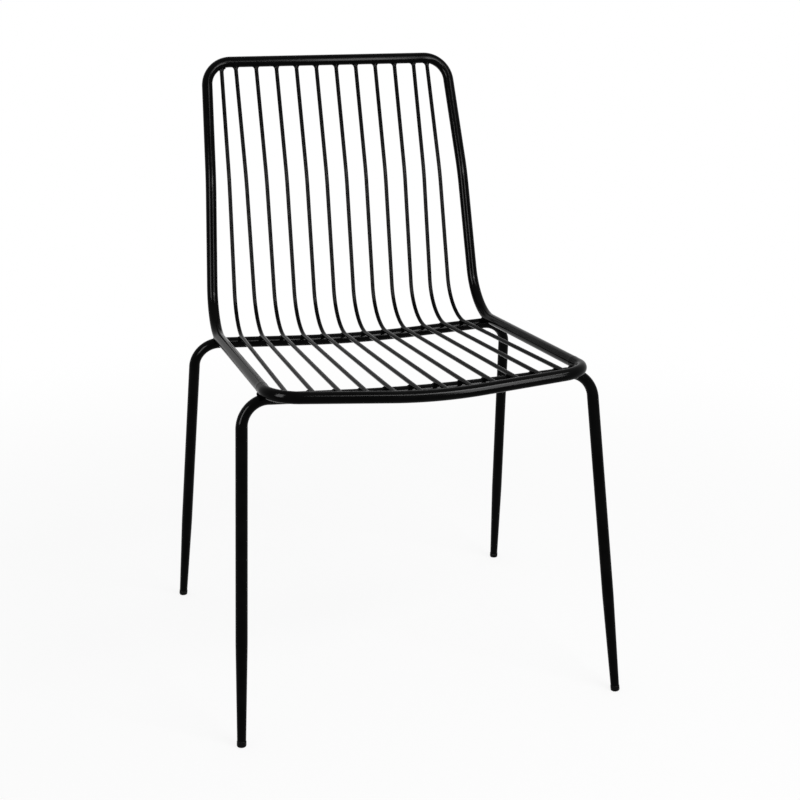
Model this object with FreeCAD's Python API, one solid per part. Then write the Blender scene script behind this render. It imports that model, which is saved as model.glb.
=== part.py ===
import FreeCAD, Part
import math
import os
from FreeCAD import Vector

# Black steel rod chair. Millimetres, X across, front towards -Y, Z up.
# The origin lies on the floor under the middle of the chair.

# Tube and rod
tube_diameter = 16.0
tube_wall = 1.5
rod_diameter = 6.0
rod_count = 12
weld_gap = 0.05            # air left between crossing tubes before the weld fills it
weld_hair = 0.03           # air left between a bead and the crossbar under it

# Hoop: side profile, from the front corner backwards and up
front_corner_height = 472.0
seat_run = 440.0
seat_drop = 24.0
lower_back_length = 222.0
lower_back_lean = 10.5     # degrees from upright
upper_back_length = 180.7
upper_back_lean = 20.0

# Hoop: centre line widths between its corners
hoop_width_front = 430.0
hoop_width_seat_rear = 422.0
hoop_width_top = 378.0

# Hoop: bend radii on the centre line
seat_bend_radius = 79.0
back_kink_radius = 250.0
top_corner_radius = 37.0
front_corner_radius = 42.0
rod_bend_radius = 68.5      # the rods are bent tighter than the hoop

# Front rail: bowed forwards and dipped, straight at its ends and round in the middle
front_rail_bow = 12.0
front_rail_dip = 11.0
front_rail_round_half = 62.0
front_joint_setback = 56.0  # the butt joint with the side rail, behind the front corner

# Leg frames: crossbar corners, feet and dished crossbars
front_bar_setback = 58.0    # crossbar behind the hoop's front corner
rear_bar_wrap = 17.9        # degrees round the seat bend to where it rests on the rear crossbar
front_shoulder_overhang = 26.0  # leg corner outside the hoop's centre line
rear_shoulder_overhang = 33.3
front_leg_splay = 27.0      # foot outside its own leg corner
rear_leg_splay = 23.2
front_leg_reach = 68.5      # feet in front of the front crossbar
rear_leg_reach = 84.8       # feet behind the rear crossbar
leg_bend_radius = 37.0
front_bar_dish = 8.0
front_bar_round_half = 102.0
rear_bar_dish = 9.7
rear_bar_round_half = 92.0

# Drawn-down leg ends and foot plugs
leg_end_diameter = 12.0
leg_taper_length = 132.0
foot_head_height = 7.5      # along the leg, from the floor to the end of the tube
foot_head_diameter = 12.8
foot_edge_radius = 3.0
foot_over_run = 0.9         # how far the head passes the floor before it is cut flat
foot_stem_length = 16.0
foot_stem_clearance = 0.15
foot_tip_chamfer = 1.0

# Rods: from the hoop's centre line in to the outermost rods, which are spaced evenly between
rod_edge_top = 17.2
rod_edge_bend = 38.7
rod_edge_front = 25.4
outer_rod_inset_top = 9.5   # the outermost rods stand in from the pitch, clear of the corners
rod_shift_top = -4.5        # the whole set of rods is welded a little to one side of the middle
rod_shift_bend = -2.0
rod_shift_front = 1.9

# Weld beads
top_fillet_leg = 3.4        # how far a fillet stands out round the rod's end
front_fillet_leg = 1.5
fillet_height = 4.5
fillet_lip = 0.25           # thickness of a fillet where it runs out on the rod
fillet_root = 0.4           # how far its foot reaches under the tube's surface before the cut
bead_radius = 2.3
bead_length = 7.0
bead_side_clearance = 0.9   # bead centre line outside the upper rod or tube
bead_rise = 0.9             # bead centre line above the crest of the lower tube
bead_end_round = 0.8        # share of a bead's radius that is rounded off at its ends
frame_bead_radius = 2.6
frame_bead_length = 8.5

tube_radius = tube_diameter / 2
bore_radius = tube_radius - tube_wall
rod_radius = rod_diameter / 2
rod_setback = tube_radius - rod_radius  # rods and hoop lie on the same crossbars
hoop_on_bar = 2 * tube_radius + weld_gap
rod_on_bar = tube_radius + rod_radius + weld_gap
front_shoulder_width = hoop_width_front + 2 * front_shoulder_overhang
rear_shoulder_width = hoop_width_seat_rear + 2 * rear_shoulder_overhang
front_foot_spread = front_shoulder_width + 2 * front_leg_splay
rear_foot_spread = rear_shoulder_width + 2 * rear_leg_splay
rod_pitch_top = (hoop_width_top - 2 * rod_edge_top) / (rod_count - 1)
rod_pitch_bend = (hoop_width_seat_rear - 2 * rod_edge_bend) / (rod_count - 1)
rod_pitch_front = (hoop_width_front - 2 * rod_edge_front) / (rod_count - 1)


# Lengths and places of the hoop's corners in the side view, as (y, z)
def lean(length, degrees):
    angle = math.radians(degrees)
    return length * math.sin(angle), length * math.cos(angle)


lower_back_depth, lower_back_rise = lean(lower_back_length, lower_back_lean)
upper_back_depth, upper_back_rise = lean(upper_back_length, upper_back_lean)
overall_depth = (seat_run + lower_back_depth + upper_back_depth
                 + front_rail_bow + tube_diameter)
front_y = -overall_depth / 2 + front_rail_bow + tube_radius
front_corner = (front_y, front_corner_height)
seat_corner = (front_y + seat_run, front_corner_height - seat_drop)
back_kink = (seat_corner[0] + lower_back_depth, seat_corner[1] + lower_back_rise)
top_corner = (back_kink[0] + upper_back_depth, back_kink[1] + upper_back_rise)
kink_share = lower_back_length / (lower_back_length + upper_back_length)
hoop_width_kink = hoop_width_seat_rear + kink_share * (hoop_width_top - hoop_width_seat_rear)


# Small vector helpers in the side view
def side_vector(start, end):
    length = math.hypot(end[0] - start[0], end[1] - start[1])
    return ((end[0] - start[0]) / length, (end[1] - start[1]) / length)


def side_point(start, direction, distance):
    return (start[0] + direction[0] * distance, start[1] + direction[1] * distance)


seat_direction = side_vector(front_corner, seat_corner)
seat_normal = (-seat_direction[1], seat_direction[0])
back_direction = side_vector(seat_corner, back_kink)
upper_direction = side_vector(back_kink, top_corner)


# Centre of the hoop's seat bend, on the sitter's side of both straights
def seat_bend_centre():
    turn = math.acos(seat_direction[0] * back_direction[0] + seat_direction[1] * back_direction[1])
    run_in = seat_bend_radius * math.tan(turn / 2)
    start = side_point(seat_corner, seat_direction, -run_in)
    return side_point(start, seat_normal, seat_bend_radius)


bend_centre = seat_bend_centre()


# Path through points, each corner rounded by its own radius
def rounded_path(points, radii):
    edges = []
    last = points[0]
    for before, corner, after, radius in zip(points, points[1:], points[2:], radii):
        back = (before - corner).normalize()
        ahead = (after - corner).normalize()
        half_angle = back.getAngle(ahead) / 2
        start = corner + back * (radius / math.tan(half_angle))
        end = corner + ahead * (radius / math.tan(half_angle))
        towards = (back + ahead).normalize()
        middle = corner + towards * (radius / math.sin(half_angle) - radius)
        edges.append(Part.LineSegment(last, start).toShape())
        edges.append(Part.Arc(start, middle, end).toShape())
        last = end
    edges.append(Part.LineSegment(last, points[-1]).toShape())
    return Part.Wire(edges)


# Round bar along a path
def swept_bar(path, radius):
    start = path.Edges[0].Vertexes[0].Point
    direction = path.Edges[0].tangentAt(path.Edges[0].FirstParameter)
    profile = Part.Wire(Part.makeCircle(radius, start, direction))
    return path.makePipeShell([profile], True, False)


def swept_tube(path):
    return swept_bar(path, tube_radius).cut(swept_bar(path, bore_radius)).Solids[0]


# A bowed bar is a wide V with a round middle: the height of its tip and its radius
def bow_tip(depth, half_width, round_half):
    return depth * half_width / (half_width - round_half / 2)


def bow_radius(depth, half_width, round_half):
    slope = depth / (half_width - round_half / 2)
    return round_half / slope


# How far a bowed bar stands from its chord at a distance from the middle, as a share of 1
def bow_share(across, half_width, round_half):
    reach = abs(across)
    if reach < round_half:
        reach = reach * reach / (2 * round_half) + round_half / 2
    return (half_width - reach) / (half_width - round_half / 2)


# Corners of the hoop on one side, side = 1 or -1
def hoop_corner(place, width, side):
    return Vector(side * width / 2, place[0], place[1])


front_half = hoop_width_front / 2
rear_half = hoop_width_seat_rear / 2
front_tip = Vector(0,
                   front_corner[0] - bow_tip(front_rail_bow, front_half, front_rail_round_half),
                   front_corner[1] - bow_tip(front_rail_dip, front_half, front_rail_round_half))


# Point on the straight side rail, measured back from the front corner
def side_rail_point(side, setback):
    corner = hoop_corner(front_corner, hoop_width_front, side)
    rear = hoop_corner(seat_corner, hoop_width_seat_rear, side)
    return corner + (rear - corner) * (setback / seat_run)


# Hoop from the left joint, up over the top rail and down to the right joint
def hoop_path():
    rising = []
    for side in (-1, 1):
        rising.append([side_rail_point(side, front_joint_setback),
                       hoop_corner(seat_corner, hoop_width_seat_rear, side),
                       hoop_corner(back_kink, hoop_width_kink, side),
                       hoop_corner(top_corner, hoop_width_top, side)])
    radii = [seat_bend_radius, back_kink_radius, top_corner_radius]
    return rounded_path(rising[0] + rising[1][::-1], radii + radii[::-1])


def front_rail_path():
    ends = [[side_rail_point(side, front_joint_setback),
             hoop_corner(front_corner, hoop_width_front, side)] for side in (-1, 1)]
    bow = math.hypot(front_rail_bow, front_rail_dip)
    radii = [front_corner_radius,
             bow_radius(bow, front_half, front_rail_round_half),
             front_corner_radius]
    return rounded_path(ends[0] + [front_tip] + ends[1][::-1], radii)


# How far the front rail has turned back in its corner bend, at a distance from the middle
def fall_in_corner(across):
    splay = math.atan(front_rail_bow / (front_half - front_rail_round_half / 2))
    bend_length = front_corner_radius * math.tan((math.pi / 2 - splay) / 2)
    past = max(0, abs(across) - front_half + bend_length)
    return front_corner_radius - math.sqrt(front_corner_radius ** 2 - past ** 2)


# Leg frame: an upside-down U in one leaning plane, with a dished crossbar
class LegFrame:
    def __init__(self, bar_place, rail_half, shoulder_width, foot_spread, foot_y, dish,
                 round_half):
        self.half = shoulder_width / 2
        self.foot_half = foot_spread / 2
        self.foot_y = foot_y
        self.dish = dish
        self.round_half = round_half
        # the crossbar holds the side rail at its place, so its corners stand higher by its dish
        # and by what its bend has already fallen under the rail
        depth_there = dish * bow_share(rail_half, self.half, round_half)
        self.lean = (bar_place[0] - foot_y) / bar_place[1]
        self.corner_z = bar_place[1] + depth_there + self.fall_in_bend(rail_half, bar_place[1])
        self.corner_y = foot_y + self.lean * self.corner_z

    # how much lower a rail rests on the bend than it would on a crossbar that went on straight
    def fall_in_bend(self, across, height):
        rising = math.atan(self.dish / (self.half - self.round_half / 2))
        splay = math.atan((self.foot_half - self.half) / height)
        turn = math.pi / 2 + rising - splay
        bend_start = self.half - leg_bend_radius * math.tan(turn / 2)
        past = max(0, across - bend_start)
        reach = leg_bend_radius + hoop_on_bar
        return reach - math.sqrt(reach ** 2 - past ** 2)

    def foot(self, side):
        return Vector(side * self.foot_half, self.foot_y, 0)

    def shoulder(self, side):
        return Vector(side * self.half, self.corner_y, self.corner_z)

    # unit vector from a foot up its leg
    def leg_direction(self, side):
        return (self.shoulder(side) - self.foot(side)).normalize()

    # centre of the crossbar at a distance across, as (y, z)
    def bar_at(self, across):
        drop = self.dish * bow_share(across, self.half, self.round_half)
        return (self.corner_y - self.lean * drop, self.corner_z - drop)

    # crossbar and legs down to where the legs begin to taper
    def path(self):
        tip_drop = bow_tip(self.dish, self.half, self.round_half)
        tip = Vector(0, self.corner_y - self.lean * tip_drop, self.corner_z - tip_drop)
        taper_top = foot_head_height + leg_taper_length
        starts = [self.foot(side) + self.leg_direction(side) * taper_top for side in (-1, 1)]
        radii = [leg_bend_radius, bow_radius(self.dish, self.half, self.round_half), leg_bend_radius]
        points = [starts[0], self.shoulder(-1), tip, self.shoulder(1), starts[1]]
        return rounded_path(points, radii)

    # drawn-down lower end of one leg, hollow all the way
    def taper(self, side):
        end = self.foot(side) + self.leg_direction(side) * foot_head_height
        direction = self.leg_direction(side)
        end_radius = leg_end_diameter / 2
        outer = Part.makeCone(end_radius, tube_radius, leg_taper_length, end, direction)
        bore = Part.makeCone(end_radius - tube_wall, bore_radius, leg_taper_length, end, direction)
        return outer.cut(bore)

    # the bent tube without its bore
    def tube_solid(self):
        return swept_bar(self.path(), tube_radius)

    def tube(self):
        return swept_tube(self.path()).fuse([self.taper(-1), self.taper(1)]).removeSplitter().Solids[0]

    # short straight length of the crossbar's centre line round one crossing
    def local_line(self, across):
        places = (across - tube_radius, across + tube_radius)
        return [Vector(place, *self.bar_at(place)) for place in places]

    # the same length as a bar, to shape the welds on it
    def stub(self, across):
        start, end = self.local_line(across)
        return tube_stub((start + end) / 2, (end - start).normalize(), 180)


# The rear crossbar lies round the seat bend, the front one under the side rails
def rear_bar_place():
    angle = math.atan2(-seat_normal[1], -seat_normal[0]) + math.radians(rear_bar_wrap)
    direction = (math.cos(angle), math.sin(angle))
    return side_point(bend_centre, direction, seat_bend_radius + hoop_on_bar)


def front_bar_place():
    along = side_point(front_corner, seat_direction, front_bar_setback / seat_direction[0])
    return side_point(along, seat_normal, -hoop_on_bar)


front_place = front_bar_place()
rear_place = rear_bar_place()
front_rail_half = front_half + front_bar_setback / seat_run * (rear_half - front_half)
front_frame = LegFrame(front_place, front_rail_half, front_shoulder_width, front_foot_spread,
                       front_place[0] - front_leg_reach, front_bar_dish, front_bar_round_half)
rear_frame = LegFrame(rear_place, rear_half, rear_shoulder_width, rear_foot_spread,
                      rear_place[0] + rear_leg_reach, rear_bar_dish, rear_bar_round_half)


# Foot plug: a stem in the tube's end and a rounded head cut flat on the floor
def foot_plug(frame, side):
    direction = frame.leg_direction(side)
    floor_point = frame.foot(side)
    head_radius = foot_head_diameter / 2
    head_length = foot_head_height + foot_over_run
    head = Part.makeCylinder(head_radius, head_length,
                             floor_point - direction * foot_over_run, direction)
    lower_edge = min((edge for edge in head.Edges if edge.Curve.TypeId == "Part::GeomCircle"),
                     key=lambda edge: edge.CenterOfMass.z)
    head = head.makeFillet(foot_edge_radius, [lower_edge])
    stem_radius = leg_end_diameter / 2 - tube_wall - foot_stem_clearance
    stem_start = floor_point + direction * foot_head_height
    body_length = foot_stem_length - foot_tip_chamfer
    stem = Part.makeCylinder(stem_radius, body_length, stem_start, direction)
    tip = Part.makeCone(stem_radius, stem_radius - foot_tip_chamfer, foot_tip_chamfer,
                        stem_start + direction * body_length, direction)
    plug = head.fuse([stem, tip]).removeSplitter()
    reach = 2 * foot_head_diameter
    floor = Part.makeBox(reach, reach, reach,
                         floor_point - Vector(reach / 2, reach / 2, reach))
    return plug.cut(floor).Solids[0]


# One rod: where it lies across the chair, and its side profile; side -1 gives its reflection
class Rod:
    def __init__(self, number, side=1):
        place = number - (rod_count + 1) / 2
        outermost = number in (1, rod_count)
        inset = math.copysign(outer_rod_inset_top, place) if outermost else 0
        self.top_x = side * (place * rod_pitch_top - inset + rod_shift_top)
        self.bend_x = side * (place * rod_pitch_bend + rod_shift_bend)
        self.front_x = side * (place * rod_pitch_front + rod_shift_front)
        self.kink_x = self.bend_x + kink_share * (self.top_x - self.bend_x)
        setback_share = front_bar_setback / seat_run
        self.front_bar_x = self.front_x + setback_share * (self.bend_x - self.front_x)
        self.lay_out()

    # The lower back stands behind the hoop by rod_setback. The bend slides down it until it
    # rests on the dished rear crossbar, and the seat run lies on the front crossbar.
    def lay_out(self):
        rear_bar = rear_frame.bar_at(self.bend_x)
        front_bar = front_frame.bar_at(self.front_bar_x)
        reach = rod_bend_radius + rod_on_bar
        back_normal = (back_direction[1], -back_direction[0])
        tighter_by = seat_bend_radius + rod_setback - rod_bend_radius
        highest = side_point(bend_centre, back_normal, tighter_by)
        offset = (highest[0] - rear_bar[0], highest[1] - rear_bar[1])
        along = offset[0] * back_direction[0] + offset[1] * back_direction[1]
        spare = offset[0] ** 2 + offset[1] ** 2 - reach ** 2
        slide = -along + math.sqrt(along ** 2 - spare)
        self.bend_centre = side_point(highest, back_direction, slide)
        span = (self.bend_centre[0] - front_bar[0], self.bend_centre[1] - front_bar[1])
        rise = math.asin(reach / math.hypot(*span))
        slope = math.atan2(span[1], span[0]) - rise
        self.seat_direction = (math.cos(slope), math.sin(slope))
        self.seat_normal = (-math.sin(slope), math.cos(slope))
        self.front_contact = side_point(front_bar, self.seat_normal, tube_radius)
        self.seat_start = side_point(front_bar, self.seat_normal, rod_on_bar)
        self.kink = side_point(back_kink, back_normal, rod_setback)
        self.corner = self.meet(self.seat_start, self.seat_direction, self.kink, back_direction)

    # crossing point of two lines in the side view
    @staticmethod
    def meet(first, first_direction, second, second_direction):
        cross = (first_direction[0] * second_direction[1]
                 - first_direction[1] * second_direction[0])
        between = (second[0] - first[0], second[1] - first[1])
        distance = (between[0] * second_direction[1] - between[1] * second_direction[0]) / cross
        return side_point(first, first_direction, distance)

    # depth of the front rail's centre line where this rod ends
    def front_end(self):
        bow = front_rail_bow * bow_share(self.front_x, front_half, front_rail_round_half)
        rail_y = front_corner[0] - bow + fall_in_corner(self.front_x)
        distance = (rail_y - self.seat_start[0]) / self.seat_direction[0]
        return side_point(self.seat_start, self.seat_direction, distance)

    def path(self):
        points = [Vector(self.front_x, *self.front_end()),
                  Vector(self.bend_x, *self.corner),
                  Vector(self.kink_x, *self.kink),
                  Vector(self.top_x, *top_corner)]
        return rounded_path(points, [rod_bend_radius, back_kink_radius])

    # directions along its two straight ends, pointing out of the rod
    def end_directions(self):
        corner = Vector(self.bend_x, *self.corner)
        kink = Vector(self.kink_x, *self.kink)
        front = Vector(self.front_x, *self.front_end()) - corner
        top = Vector(self.top_x, *top_corner) - kink
        return (front.normalize(), top.normalize())

    # underside of the seat run, where it lies on the front crossbar
    def front_rest(self):
        front_end = self.front_end()
        share = (self.front_contact[0] - front_end[0]) / (self.corner[0] - front_end[0])
        across = self.front_x + share * (self.bend_x - self.front_x)
        return Vector(across, *self.front_contact)

    # where the bend rests on the rear crossbar, with the directions along the rod and off the bar
    def rear_rest(self):
        bend = self.path().Edges[1]
        bar = Part.makeLine(*rear_frame.local_line(self.bend_x))
        on_rod, on_bar = bend.distToShape(bar)[1][0]
        upwards = (on_rod - on_bar).normalize()
        along = bend.tangentAt(bend.Curve.parameter(on_rod))
        return on_bar + upwards * tube_radius, along, upwards


# Ring of weld round a rod's end, where it meets a tube whose centre is at the rod's end
def end_fillet(end, outwards, leg):
    foot_radius = rod_radius + leg
    foot_depth = math.sqrt(tube_radius ** 2 - foot_radius ** 2) - fillet_root
    top = tube_radius + fillet_height
    backwards = outwards.cross(Vector(1, 0, 0)).normalize()
    sideways = (backwards + backwards.cross(outwards)).normalize()
    profile = [(rod_radius, 0), (foot_radius, 0), (foot_radius, foot_depth),
               (rod_radius + fillet_lip, top), (rod_radius, top), (rod_radius, 0)]
    points = [end + sideways * across - outwards * down for across, down in profile]
    return Part.Face(Part.makePolygon(points)).revolve(end, -outwards, 360)


# Straight length of tube through a point, with its seam on the far side from a weld
def tube_stub(middle, along, seam_turn):
    reach = tube_diameter
    stub = Part.makeCylinder(tube_radius + weld_hair, 2 * reach, middle - along * reach, along)
    return stub.rotated(middle, along, seam_turn)


# Bead with rounded ends, turned about its own axis, with its seam on the side facing away
def round_ended_bead(middle, along, facing, radius, length):
    turn = radius * bead_end_round
    flat = radius - turn
    overall = length / 2 + turn
    corners = []
    for outwards in (-along, along):
        centre = middle + outwards * (length / 2) + facing * flat
        corners.append([middle + outwards * overall,
                        centre + outwards * turn,
                        centre + (outwards + facing) * (turn * math.sqrt(0.5)),
                        centre + facing * turn])
    start, end = corners
    outline = Part.Wire([
        Part.LineSegment(end[0], start[0]).toShape(),
        Part.LineSegment(start[0], start[1]).toShape(),
        Part.Arc(start[1], start[2], start[3]).toShape(),
        Part.LineSegment(start[3], end[3]).toShape(),
        Part.Arc(end[3], end[2], end[1]).toShape(),
        Part.LineSegment(end[1], end[0]).toShape()])
    return Part.Face(outline).revolve(middle, along, 360)


# Two beads, one on each side of a rod or tube that lies across another tube
def crossing_beads(contact, along, upwards, upper_radius, radius, length):
    across = along.cross(upwards).normalize()
    beads = []
    for side in (-1, 1):
        middle = (contact + across * (side * (upper_radius + bead_side_clearance))
                  + upwards * bead_rise)
        facing = (across * side + upwards).normalize()
        beads.append(round_ended_bead(middle, along, facing, radius, length))
    return beads


# Keeps what is left of each bead when the tubes and rods that it joins are taken out
def trimmed(beads, *tubes):
    solids = []
    for bead in beads:
        rest = bead.cut(list(tubes))
        solids.append(max(rest.Solids, key=lambda solid: solid.Volume))
    return solids


# The same beads on the other side of the chair
def mirrored(beads):
    return [bead.mirror(Vector(0, 0, 0), Vector(1, 0, 0)) for bead in beads]


def save(name, shape):
    if not shape.isValid():
        raise ValueError(name + " is not a valid solid")
    shape.exportStep("parts/" + name + ".step")
    print(name, len(shape.Solids), "solid", round(shape.Volume, 1), "mm3")


def side_vector_3d(direction):
    return Vector(0, direction[0], direction[1])


os.makedirs("parts", exist_ok=True)

hoop = swept_tube(hoop_path())
front_rail = swept_tube(front_rail_path())
hoop_bar = swept_bar(hoop_path(), tube_radius)
front_rail_bar = swept_bar(front_rail_path(), tube_radius)
save("back_hoop_tube", hoop)
save("front_rail_tube", front_rail)

frames = {"front": front_frame, "rear": rear_frame}
for name, frame in frames.items():
    save(name + "_leg_frame", frame.tube())
    for side, side_name in ((-1, "left"), (1, "right")):
        save("foot_plug_" + name + "_" + side_name, foot_plug(frame, side))

# A rod on the right gets the mirrored welds of its reflection on the left
welds = {"top_rail": [], "front_rail": [], "front_crossbar": [], "rear_crossbar": []}
for number in range(1, rod_count + 1):
    rod = Rod(number)
    full_rod = swept_bar(rod.path(), rod_radius)
    cut_rod = max(full_rod.cut(hoop_bar).cut(front_rail_bar).Solids, key=lambda s: s.Volume)
    save("seat_and_back_rod_%02d" % number, cut_rod)
    on_right = rod.bend_x > 0
    if on_right:
        rod = Rod(number, -1)
        full_rod = swept_bar(rod.path(), rod_radius)
    front_out, top_out = rod.end_directions()
    top_end = Vector(rod.top_x, *top_corner)
    front_end = Vector(rod.front_x, *rod.front_end())
    on_straight = abs(rod.top_x) + tube_radius < hoop_width_top / 2 - top_corner_radius
    top_tube = tube_stub(top_end, Vector(1, 0, 0), 90) if on_straight else hoop_bar
    rear_contact, rear_along, rear_upwards = rod.rear_rest()
    made = {
        "top_rail": trimmed([end_fillet(top_end, top_out, top_fillet_leg)], top_tube),
        "front_rail": trimmed([end_fillet(front_end, front_out, front_fillet_leg)],
                              front_rail_bar),
        "front_crossbar": trimmed(
            crossing_beads(rod.front_rest(), -front_out, side_vector_3d(rod.seat_normal),
                           rod_radius, bead_radius, bead_length),
            full_rod, front_frame.stub(rod.front_bar_x)),
        "rear_crossbar": trimmed(
            crossing_beads(rear_contact, rear_along, rear_upwards,
                           rod_radius, bead_radius, bead_length),
            full_rod, rear_frame.stub(rod.bend_x))}
    for place, beads in made.items():
        welds[place] += mirrored(beads) if on_right else beads

# The hoop's left side rail on the two crossbars
rail_spot = side_rail_point(-1, front_bar_setback)
rail_direction = (side_rail_point(-1, seat_run) - rail_spot).normalize()
rail_up = side_vector_3d(seat_normal)
to_centre = side_vector(rear_place, bend_centre)
bend_spot = Vector(-rear_half, *side_point(rear_place, to_centre, tube_radius + weld_gap / 2))
frame_beads = trimmed(
    crossing_beads(rail_spot - rail_up * tube_radius, rail_direction, rail_up,
                   tube_radius, frame_bead_radius, frame_bead_length),
    hoop_bar, front_rail_bar, front_frame.tube_solid())
frame_beads += trimmed(
    crossing_beads(bend_spot, side_vector_3d((to_centre[1], -to_centre[0])),
                   side_vector_3d(to_centre), tube_radius, frame_bead_radius, frame_bead_length),
    hoop_bar, rear_frame.tube_solid())

for place, beads in welds.items():
    save(place + "_welds", Part.makeCompound(beads))
save("hoop_to_frame_welds", Part.makeCompound(frame_beads + mirrored(frame_beads)))
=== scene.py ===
import math

import bpy
import numpy as np
from mathutils import Matrix, Vector


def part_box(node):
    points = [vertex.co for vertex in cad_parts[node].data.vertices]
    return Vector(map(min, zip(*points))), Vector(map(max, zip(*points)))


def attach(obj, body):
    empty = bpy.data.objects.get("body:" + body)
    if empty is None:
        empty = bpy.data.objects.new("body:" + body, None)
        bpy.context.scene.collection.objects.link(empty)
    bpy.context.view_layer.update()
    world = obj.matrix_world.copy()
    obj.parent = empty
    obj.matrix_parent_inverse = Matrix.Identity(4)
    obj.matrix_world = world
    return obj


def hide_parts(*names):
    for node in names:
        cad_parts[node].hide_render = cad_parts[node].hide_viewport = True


# Black steel rod chair. Metres, X across, front towards -Y, Z up, as the frame has it.

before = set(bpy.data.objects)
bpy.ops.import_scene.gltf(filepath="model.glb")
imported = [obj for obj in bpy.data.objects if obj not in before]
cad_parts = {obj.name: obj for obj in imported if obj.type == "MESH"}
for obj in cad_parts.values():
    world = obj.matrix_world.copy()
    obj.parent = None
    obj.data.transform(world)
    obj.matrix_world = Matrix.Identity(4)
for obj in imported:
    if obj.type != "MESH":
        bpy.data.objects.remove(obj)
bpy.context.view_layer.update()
print("frame loaded,", len(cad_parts), "nodes")

rootBody = "root"
sharpEdge = 35                    # degrees between faces past which an edge shades sharp


# Small maths on numpy vectors

def vec(x, y, z):
    return np.array([x, y, z], float)


def unit(v):
    return v / np.linalg.norm(v)


def unitRows(rows):
    return rows / np.linalg.norm(rows, axis=1, keepdims=True)


def placeAt(x, side):  # a point from its x and its (y, z) in the side view
    return vec(x, side[0], side[1])


def leanStep(length, degrees):  # (y, z) step of a length that leans back from upright
    angle = math.radians(degrees)
    return np.array([length * math.sin(angle), length * math.cos(angle)])


# Sizes of the hoop, as the frame's tubes have them
hoop = {
    "tubeRadius": 0.008,
    "wall": 0.0015,
    "frontCornerHeight": 0.472,
    "seatRun": 0.440,
    "seatDrop": 0.024,
    "lowerBack": (0.222, 10.5),   # length, degrees from upright
    "upperBack": (0.1807, 20.0),
    "widthFront": 0.430,
    "widthRear": 0.422,
    "widthTop": 0.378,
    "seatBend": 0.079,
    "backKink": 0.250,
    "topCorner": 0.037,
    "sides": 40,
    "flatten": {"seatBend": 0.035, "backKink": 0.0, "topCorner": 0.06},
}
frontRail = {
    "cornerBend": 0.042,
    "bow": 0.012,
    "dip": 0.011,
    "roundHalf": 0.062,
    "jointSetback": 0.056,
    "flatten": 0.06,
    "seamHeight": 0.00025,        # the ground weld of the butt joint stands this proud
    "seamWidth": 0.0022,
}
frames = {
    "front": {"node": "front_leg_frame", "shoulder": 0.482, "footSpread": 0.536, "reach": -0.0685,
              "dish": 0.008, "roundHalf": 0.102},
    "rear": {"node": "rear_leg_frame", "shoulder": 0.4886, "footSpread": 0.535, "reach": 0.0848,
             "dish": 0.0097, "roundHalf": 0.092},
    "bend": 0.037,
    "flatten": 0.085,
    "barSetback": 0.058,
    "rearWrap": 17.9,             # degrees round the seat bend
    "endRadius": 0.006,
    "taper": 0.132,
    "headHeight": 0.0075,
    "gap": 0.00005,
    "sides": 40,
}
rods = {
    "count": 12,
    "radius": 0.003,
    "bendRadius": 0.0685,
    "edgeTop": 0.0172,            # from the hoop's centre line in to the outermost rods
    "edgeBend": 0.0387,
    "edgeFront": 0.0254,
    "outerInsetTop": 0.0095,
    "shiftTop": -0.0045,          # the set of rods stands off the middle
    "shiftBend": -0.0020,
    "shiftFront": 0.0019,
    "flatten": 0.02,
    "sides": 20,
}

tubeRadius = hoop["tubeRadius"]
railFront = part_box("front_rail_tube")[0].y + frontRail["bow"] + tubeRadius
halfFront = hoop["widthFront"] / 2
halfRear = hoop["widthRear"] / 2
halfTop = hoop["widthTop"] / 2

# Corners of the hoop in the side view, as (y, z)
frontCorner = np.array([railFront, hoop["frontCornerHeight"]])
seatCorner = frontCorner + (hoop["seatRun"], -hoop["seatDrop"])
backKink = seatCorner + leanStep(*hoop["lowerBack"])
topCorner = backKink + leanStep(*hoop["upperBack"])
kinkShare = hoop["lowerBack"][0] / (hoop["lowerBack"][0] + hoop["upperBack"][0])
halfKink = halfRear + kinkShare * (halfTop - halfRear)
seatAlong = unit(seatCorner - frontCorner)
seatUp = np.array([-seatAlong[1], seatAlong[0]])
backAlong = unit(backKink - seatCorner)


def sideRailPoint(side, setback):  # on the straight side rail, back from the front corner
    share = setback / hoop["seatRun"]
    start = placeAt(side * halfFront, frontCorner)
    return start + share * (placeAt(side * halfRear, seatCorner) - start)


def bendCentreOf():  # centre of the seat bend, on the sitter's side
    turn = math.acos(float(seatAlong @ backAlong))
    return seatCorner - seatAlong * hoop["seatBend"] * math.tan(turn / 2) + seatUp * hoop["seatBend"]


bendCentre = bendCentreOf()


# A run is a line through corners, each rounded by its own radius:
# an arc point is centre + radius * (sin a * along - cos a * inwards), for a from -turn/2 to turn/2.
# The squeeze of a bend is its flatten * sin(pi * share of the bend) ^ fade
runs = {"step": 0.005, "turnStep": math.radians(3.5), "fewest": 6, "squeezeFade": 0.8}


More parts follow.
